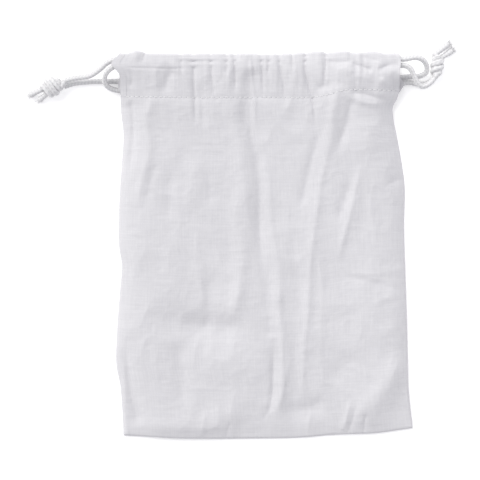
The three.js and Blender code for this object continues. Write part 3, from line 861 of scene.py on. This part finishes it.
def pull_end(grid, low_x, high_x, left_nose, right_nose):
    """Draws the casing's ends out where the cords leave it; a nose is (how far, at what y, how wide)."""
    x, y = grid[..., 0], grid[..., 1]
    for nose, edge, way in ((left_nose, low_x, -1), (right_nose, high_x, 1)):
        far, at, wide = nose
        near = np.exp(-(((y - at) / wide) ** 2)) * np.exp(-np.abs(x - edge) / (9 * MM))
        grid[..., 0] = grid[..., 0] + way * far * near
    return grid


# ---------------------------------------------------------------- cutting and joining


def follow(obj, side):
    """Attaches a piece to the bag if it has no side; a piece with a side only has its placement baked into
    its mesh.
    """
    if side is None:
        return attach(obj, "bag")
    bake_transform(obj)
    return obj


def muslin_piece(name, grid, normals, uv, thickness, side, node):
    obj = cloth_piece(name, grid, normals, uv, thickness, MUSLIN)
    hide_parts(node)
    return follow(obj, side)


def tube_piece(name, parts, material, node):
    vertices, faces, uv = joined(parts)
    obj = new_object(name, vertices, faces, material)
    set_uv(obj, uv)
    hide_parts(node)
    return obj


def halves(name, sheet, rows, columns=(0, CLOTH_COLUMNS)):
    """Some rows of a sheet, cut at the middle grid line into a left and a right half."""
    made = {}
    for side, part in (("left", slice(columns[0], MIDDLE + 1)), ("right", slice(MIDDLE, columns[1]))):
        grid, normals, uv = (layer[rows, part] for layer in sheet)
        made[side] = muslin_piece(f"{name}_{side}", grid, normals, uv, CLOTH, side, name)
    return made


def slit_hem(name, sheet, rows, part, side):
    """The rolled hem at one end of a casing: the same section, thicker, round at its free edge and ribbed."""
    strip, ways, uv = (layer[rows, part] for layer in sheet)
    share = np.linspace(0, 1, strip.shape[1])
    from_free = share if side == "left" else 1 - share
    roll = np.sqrt(np.clip(1 - (1 - np.clip(from_free / 0.35, 0, 1)) ** 2, 0, 1)) * mix(1.0, 0.6, from_free)
    ribs = 0.06 * np.cos(from_free * 3.5 * 2 * np.pi)
    thick = np.broadcast_to(CLOTH + (0.32 * roll + ribs * roll) * MM, strip.shape[:2])
    outward = ways * (thick[..., None] - CLOTH) / 2
    return muslin_piece(name, strip + outward, ways, uv, thick, side, name)


def casing_pieces(side, sheet, rows):
    """A casing's two halves and its two slit hems."""
    x = sheet[0][rows][:, :, 0].mean(0)
    left = int(np.searchsorted(x, x[0] + SLIT_HEM))
    right = int(np.searchsorted(x, x[-1] - SLIT_HEM))
    made = halves(f"{side}_casing", sheet, rows, (left, right + 1))
    hems = {}
    for end, part in (("left", slice(0, left + 1)), ("right", slice(right, CLOTH_COLUMNS))):
        hems[end] = slit_hem(f"{side}_{end}_slit_hem", sheet, rows, part, end)
    return made, hems


# ---------------------------------------------------------------- stitching


def stitch(start, end, up, lift):
    """One stitch: a short thread that comes up through the cloth, lies on it and goes down again."""
    share = np.linspace(0, 1, 7)[:, None]
    bow = np.sin(np.pi * share)
    path = mix(start, end, share) + up * (lift * bow**0.5 - 0.2 * MM * (1 - bow))
    return tube(path, THREAD_RADIUS * (0.55 + 0.45 * bow[:, 0] ** 0.5), THREAD_RING)


def stitch_row(line, ups, along, numbers, gap, lift):
    """Stitches one pitch apart on a line on the cloth; along says how far along it each of its points is."""
    parts = []
    for number in numbers:
        at = np.array([number * STITCH_PITCH + gap / 2, (number + 1) * STITCH_PITCH - gap / 2])
        ends = np.stack([np.interp(at, along, line[:, i]) for i in range(3)], 1)
        up = np.array([np.interp(at.mean(), along, ups[:, i]) for i in range(3)])
        parts.append(stitch(ends[0], ends[1], up, lift))
    return parts


def casing_stitches(side, sheet, row):
    """The stitching that closes a casing, in two halves, each stitch between two holes in the cloth."""
    grid, normals, uv = sheet
    surface = grid[row] + normals[row] * (CLOTH / 2)
    u = uv[row, :, 0]
    for half, first, last in (("left", 4, MIDDLE), ("right", MIDDLE, CLOTH_COLUMNS - 5)):
        numbers = np.arange(np.ceil(u[first] / STITCH_PITCH), np.floor(u[last] / STITCH_PITCH))
        parts = stitch_row(surface, normals[row], u, numbers, STITCH_GAP, CASING_STITCH_LIFT)
        node = f"{side}_casing_stitching"
        follow(tube_piece(f"{node}_{half}", parts, THREAD, node), half)


# ---------------------------------------------------------------- seams inside the bag


def seam_strip(name, edge_line, inward, side):
    """A turned-in seam allowance: a folded strip of two plies that lies between the panels along an edge."""
    line = spaced(edge_line, SEAM_STEP)
    widths = mm([2.2, 3.6, 5.4, 7.4, 8.6])
    rows = []
    for k, inset in enumerate(widths):
        waver = 0.35 * MM * value_noise(line[:, 0], line[:, 1], 9 * MM, 90 + k) * (k / 4)
        rows.append(line + inward * (inset + waver[:, None]))
    grid = np.array(rows)
    height = 1.15 * MM + 0.22 * MM * value_noise(grid[..., 0], grid[..., 1], 7 * MM, 95)
    grid = np.concatenate([grid, height[..., None]], 2)
    normals = grid_normals(grid)
    if normals[..., 2].mean() < 0:
        grid = grid[::-1]
        normals = grid_normals(grid)
    return muslin_piece(name, grid, normals, flat_uv(grid), SEAM_PLIES, side, name)


def seam_stitches(name, edge_line, inward, side):
    """The row of stitches along a seam allowance."""
    line = spaced(edge_line, SEAM_STEP) + inward * SEAM_STITCH_INSET
    path = np.concatenate([line, np.full((len(line), 1), SEAM_STITCH_Z)], 1)
    ups = np.tile((0, 0, 1.0), (len(path), 1))
    along = distances(path)
    gap = BOTTOM_STITCH_GAP if side is None else STITCH_GAP
    parts = stitch_row(path, ups, along, range(int(along[-1] // STITCH_PITCH)), gap, SEAM_STITCH_LIFT)
    return follow(tube_piece(name, parts, THREAD, name), side)


def side_line(edge):
    y = np.linspace(bottom_edge(edge(BOTTOM)) + 9 * MM, STITCH_Y - 1 * MM, 60)
    return np.stack([edge(y), y], 1)


def bottom_line():
    x = np.linspace(left_edge(BOTTOM) + 4 * MM, right_edge(BOTTOM) - 4 * MM, 60)
    return np.stack([x, bottom_edge(x)], 1)


# ---------------------------------------------------------------- cords, knots and tails


def braid(turn, along):
    """The relief of a round braid: four rows of slanting strands, with grooves between the rows."""
    rows = np.sqrt(np.abs(np.cos(2 * turn)))
    slant = BRAID_SLANT * BRAID_PITCH * np.cos(2 * turn) ** 2
    ticks = np.cos(2 * np.pi * (along + slant) / BRAID_PITCH)
    return ROW_DEPTH * (rows - 0.75) + TICK_DEPTH * ticks * rows


def uneven(path, seed):
    """A hand-handled cord is never quite smooth: small wander in its line."""
    along = distances(path)
    fade = grown(along, 0, 6) * grown(along[-1] - along, 0, 6)
    moved = path.copy()
    for k in range(2):
        moved[:, k] += CORD_WANDER * fade * value_noise(along, along * 0, 7 * MM, seed + k)
    return moved


def cord_tube(path, radius=CORD_RADIUS, ring=CORD_RING):
    swelling = 0.05 * MM * value_noise(path[:, 0] * 1.7, path[:, 1] * 1.7, 5 * MM, 33)
    return tube(path, radius + swelling, ring, braid)


def cord_piece(name, parts, body):
    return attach(tube_piece(name, parts, CORD, name), body)


def run(y, z, places):
    """The straight run of a cord inside a casing."""
    return [(x, y, z) for x in places]


# Each cord's turn round the mouth, from one face of its knot to the other, in millimetres.
ROUTES = {
    "left": [
        (-102.6, 85.2, 5.7), (-98.6, 86.2, 5.8), (-94, 86.9, 6.4), (-89.5, 87.8, 7.4), (-84.9, 90.6, 8.9),
        (-80.8, 94.1, 10.4), (-76, 95.8, FRONT_RUN_Z), *run(96, FRONT_RUN_Z, (-68, -35, 0, 35, 64, 71.5)),
        (77.6, 96.8, 9.9), (81.4, 95.6, 8.2), (83.7, 92.5, 6.1), (83.3, 89.3, 4.4), (80.2, 87.6, 3.0),
        (75.2, 87.4, BACK_RUN_Z), (70, 86.8, BACK_RUN_Z), (63, 85.4, BACK_RUN_Z),
        *run(85, BACK_RUN_Z, (35, 0, -35, -68)), (-78, 85.1, 2.0), (-87, 85.0, 1.8), (-95.5, 84.3, 2.0),
        (-99.8, 83.5, 2.3), (-103.4, 82.3, 2.8),
    ],
    "right": [
        (87.7, 86.9, 6.0), (85.6, 84.2, 6.6), (83.0, 82.4, 7.2), (80.6, 82.2, 7.8), (78.4, 84.2, 8.6),
        (76.8, 87.4, 9.5), (75.2, 90.6, 10.3), (72.8, 92.5, 10.7),
        *run(92.9, FRONT_RUN_Z, (69, 35, 0, -35, -71)),
        (-76.0, 92.5, 10.6), (-79.6, 90.6, 10.0), (-81.8, 87.8, 8.7), (-82.3, 84.6, 6.9), (-80.8, 81.9, 4.8),
        (-78.0, 80.8, 3.0), (-75.0, 80.4, BACK_RUN_Z), *run(80.4, BACK_RUN_Z, (-70, -35, 0, 35)),
        (59, 80.6, BACK_RUN_Z), (65, 81.9, BACK_RUN_Z), (70, 83.7, 2.1), (75, 84.4, 1.9), (79.4, 83.8, 1.8),
        (83.2, 83.7, 1.8), (86.4, 85.4, 1.9), (88.4, 88.0, 2.3),
    ],
}

# Each knot, in millimetres: its middle, the way through it, its length, its half widths, where its winding
# starts (in radians), and the two ends of the part of the cords that is hidden inside.
KNOTS = {
    "left": ((-109.8, 81.9, 4.8), (-1, -0.38, 0), 7.8, (3.8, 2.6), 0.3,
             ((-105.4, 83.8, 4.4), (-113.4, 80.4, 4.2))),
    "right": ((89.1, 92.9, 4.8), (0.14, 1, 0), 8.4, (2.2, 2.4), 1.9,
              ((88.6, 89.0, 4.6), (89.4, 96.8, 4.6))),
}

# Each tail: its route in millimetres, its seed, how many fibres stand out of its end and how widely.
TAILS = {
    "left_tail_upper": (
        [(-114.4, 80.9, 4.4), (-116.8, 79.9, 3.4), (-119.2, 78.9, 2.3), (-121.4, 77.9, 1.7)], 11, 34, 0.4),
    "left_tail_lower": (
        [(-112.4, 78.4, 4.0), (-113.9, 77.3, 3.0), (-115.3, 76.3, 2.1), (-116.6, 75.3, 1.7)], 12, 34, 0.4),
    "right_tail_upper": (
        [(87.2, 98.0, 5.4), (89.6, 100.0, 4.8), (92.3, 102.2, 3.8), (94.9, 104.4, 2.6)], 13, 90, 0.7),
    "right_tail_lower": (
        [(89.8, 96.2, 4.2), (92.1, 97.8, 3.6), (94.6, 99.4, 2.8), (96.9, 101.0, 1.9)], 14, 90, 0.6),
}


def knot_wrap(entry, middle, exit_place, along, length, widths, phase):
    """One of the two cords through a tight knot: it winds round the knot's middle and leaves as a tail."""
    along = np.array(along, float) / np.linalg.norm(along)
    side = np.cross((0, 0, 1.0), along)
    side /= np.linalg.norm(side)
    up = np.cross(along, side)
    share = np.linspace(0, 1, 26)[:, None]
    angle = phase + 2 * np.pi * KNOT_TURNS * share
    swell = np.sin(np.pi * (0.16 + 0.68 * share)) ** 0.7
    sideways = side * widths[0] * swell * np.cos(angle)
    upward = up * widths[1] * swell * np.sin(angle)
    wound = along * length * (share - 0.5) + sideways + upward
    places = np.vstack([[entry], middle + wound, [exit_place]])
    return spaced(curve_through(places, 4), CORD_STEP)


def tight_knot(side, path, body, tail_starts):
    """Both ends of the cord wound round each other and pulled tight, over the part that is hidden inside."""
    middle, along, length, widths, start, core_ends = KNOTS[side]
    parts = []
    for entry, exit_place, phase in zip((path[0], path[-1]), tail_starts, (start, start + np.pi)):
        wrap = knot_wrap(entry, mm(middle), exit_place, along, length * MM, mm(widths), phase)
        parts.append(cord_tube(wrap, KNOT_STRAND, KNOT_RING))
    core = spaced(mm([core_ends[0], middle, core_ends[1]]), CORD_STEP)
    parts.append(cord_tube(core, KNOT_CORE, KNOT_RING))
    return cord_piece(f"{side}_knot", parts, body)


def frayed_tail(name, body):
    """A cut end of cord: its braid, loosening, and the fibres that stand out of it."""
    route, seed, fibres, spread = TAILS[name]
    path = spaced(curve_through(mm(route), 10), CORD_STEP)
    share = np.linspace(0, 1, len(path))
    loosened = 0.3 * smoothstep((share - 0.4) / 0.5)
    narrowed = 0.4 * smoothstep((share - 0.93) / 0.07)
    parts = [tube(path, CORD_RADIUS * (1 + loosened - narrowed), CORD_RING, braid)]
    random = np.random.RandomState(seed)
    tangent = path[-1] - path[-4]
    tangent /= np.linalg.norm(tangent)
    side = np.cross(tangent, (0, 0, 1.0))
    side /= np.linalg.norm(side)
    lift = np.cross(side, tangent)
    for _ in range(fibres):
        turn = random.uniform(0, 2 * np.pi)
        out = random.uniform(0.1, 1.0) ** 0.6
        root_way = side * np.cos(turn) + lift * np.sin(turn)
        root = path[-1] - tangent * random.uniform(0.4, 1.4) * MM + root_way * CORD_RADIUS * out * 0.85
        length = random.uniform(1.2, 3.4) * MM
        lean = root_way * out * spread * random.uniform(0.3, 1.1)
        curl = (side * random.normal() + lift * random.normal()) * 0.22
        steps = np.linspace(0, 1, 6)[:, None]
        line = root + length * (tangent * steps + lean * steps**1.6 + curl * steps**2.4)
        line[:, 2] = np.maximum(line[:, 2], 0.12 * MM)
        parts.append(tube(line, np.linspace(0.10, 0.035, 6) * MM, 5))
    return cord_piece(name, parts, body)


def make_drawstring(side, seed):
    """A cord's whole turn round the mouth, the knot in its ends and its two tails."""
    body = f"{side}_drawstring"
    path = uneven(spaced(curve_through(mm(ROUTES[side]), 12), CORD_STEP), seed)
    cord = cord_piece(f"{side}_drawstring_cord", [cord_tube(path)], body)
    tails = (f"{side}_tail_upper", f"{side}_tail_lower")
    pieces = [tight_knot(side, path, body, [mm(TAILS[tail][0][0]) for tail in tails])]
    pieces += [frayed_tail(tail, body) for tail in tails]


# ---------------------------------------------------------------- the stage


def make_camera():
    data = bpy.data.cameras.new("camera")
    data.lens = CAMERA_LENS
    data.sensor_width = CAMERA_SENSOR
    camera = bpy.data.objects.new("camera", data)
    distance = PICTURE_WIDTH * CAMERA_LENS / CAMERA_SENSOR
    camera.location = (*PICTURE_MIDDLE, CLOTH_HEIGHT + distance)
    data.clip_end = 10
    bpy.context.scene.collection.objects.link(camera)
    bpy.context.scene.camera = camera


def floor_material():
    """A white table lit a little from below, so that it stays pure white round the bag."""
    n = Nodes("light_table")
    coordinates = n.tree.nodes.new("ShaderNodeTexCoord")
    grain = n.noise(coordinates.outputs["Object"], (0.004, 0.004), 3.0)
    n.colour(n.blend(grain, TABLE_DARK, TABLE_LIGHT))
    n.shader.inputs["Roughness"].default_value = 0.9
    n.shader.inputs["Specular IOR Level"].default_value = 0.1
    n.shader.inputs["Emission Color"].default_value = (1, 1, 1, 1)
    n.shader.inputs["Emission Strength"].default_value = 0.3
    return n.material


def make_floor():
    half = 3.0
    corners = [(-half, -half, 0), (half, -half, 0), (half, half, 0), (-half, half, 0)]
    floor = new_object("floor", corners, [(0, 1, 2, 3)], floor_material(), smooth=False)


def add_light(name, kind, power, way):
    """A light that shines against a way, which points from its target towards it."""
    data = bpy.data.lights.new(name, kind)
    data.energy = power
    light = bpy.data.objects.new(name, data)
    light.rotation_euler = way.to_track_quat("Z", "Y").to_euler()
    bpy.context.scene.collection.objects.link(light)
    return light


def make_light():
    """Cool light from all round, a soft warmer one from the upper left and a weak near one on the right."""
    world = bpy.data.worlds.new("studio")
    world.use_nodes = True
    background = world.node_tree.nodes["Background"]
    background.inputs["Color"].default_value = AMBIENT_COLOUR
    background.inputs["Strength"].default_value = AMBIENT
    bpy.context.scene.world = world
    key = add_light("key", "SUN", KEY_POWER, Vector(KEY_FROM))
    key.data.angle = KEY_SPREAD
    key.data.color = KEY_COLOUR
    fill = add_light("fill", "AREA", FILL_POWER, Vector(FILL_PLACE) - Vector(FILL_AIM))
    fill.data.size = FILL_SIZE
    fill.location = FILL_PLACE
    fill.visible_camera = False
    bpy.context.scene.view_settings.view_transform = "Standard"


# ---------------------------------------------------------------- the bag


def whole_sheet(panel, casing):
    """A body panel and its casing as one sheet, with one set of normals, since they are one cloth."""
    grid = np.concatenate([panel, casing[1:]])
    return grid, grid_normals(grid), flat_uv(grid, PANEL_ROWS, PANEL_ROWS - 1)


def make_cloth():
    front_panel = panel_grid(front_height, right_edge, front_stitch_line)
    front_casing = front_casing_grid(front_panel)
    noses = mm((4.6, 93.4, 3.6)), mm((0.6, 94.0, 3.0))
    front_casing = pull_end(front_casing, FRONT_HEM_LOW.x, FRONT_HEM_HIGH.x, *noses)
    back_panel = panel_grid(back_height, back_right_edge, lambda x: np.full(np.shape(x), STITCH_Y))
    back_casing = back_casing_grid(back_panel)
    noses = mm((1.6, 83.0, 4.0)), mm((6.6, 83.5, 4.2))
    back_casing = pull_end(back_casing, BACK_HEM_LOW.x, BACK_HEM_HIGH.x, *noses)
    front = whole_sheet(front_panel, front_casing)
    back = whole_sheet(back_panel, back_casing)
    body_rows, casing_rows = slice(0, PANEL_ROWS), slice(PANEL_ROWS - 1, None)
    fronts = halves("front_panel", front, body_rows)
    backs = halves("back_panel", back, body_rows)
    casings, hems = casing_pieces("front", front, casing_rows)
    back_casings, back_hems = casing_pieces("back", back, casing_rows)
    seams = make_seams()
    casing_stitches("front", front, PANEL_ROWS - 1)
    casing_stitches("back", back, PANEL_ROWS - 1)


def make_seams():
    """The seam allowance and its stitches along each side and the bottom."""
    lines = (
        ("left_side_seam", "left_seam_stitching", side_line(left_edge), (1.0, 0.0), "left"),
        ("right_side_seam", "right_seam_stitching", side_line(right_edge), (-1.0, 0.0), "right"),
        ("bottom_seam", "bottom_seam_stitching", bottom_line(), (0.0, 1.0), None),
    )
    seams = {}
    for strip, stitches, line, inward, side in lines:
        inward = np.array(inward)
        seams[side] = [seam_strip(strip, line, inward, side), seam_stitches(stitches, line, inward, side)]
    return seams


make_camera()
make_drawstring("left", 7)
make_drawstring("right", 19)
make_floor()
make_light()
make_cloth()
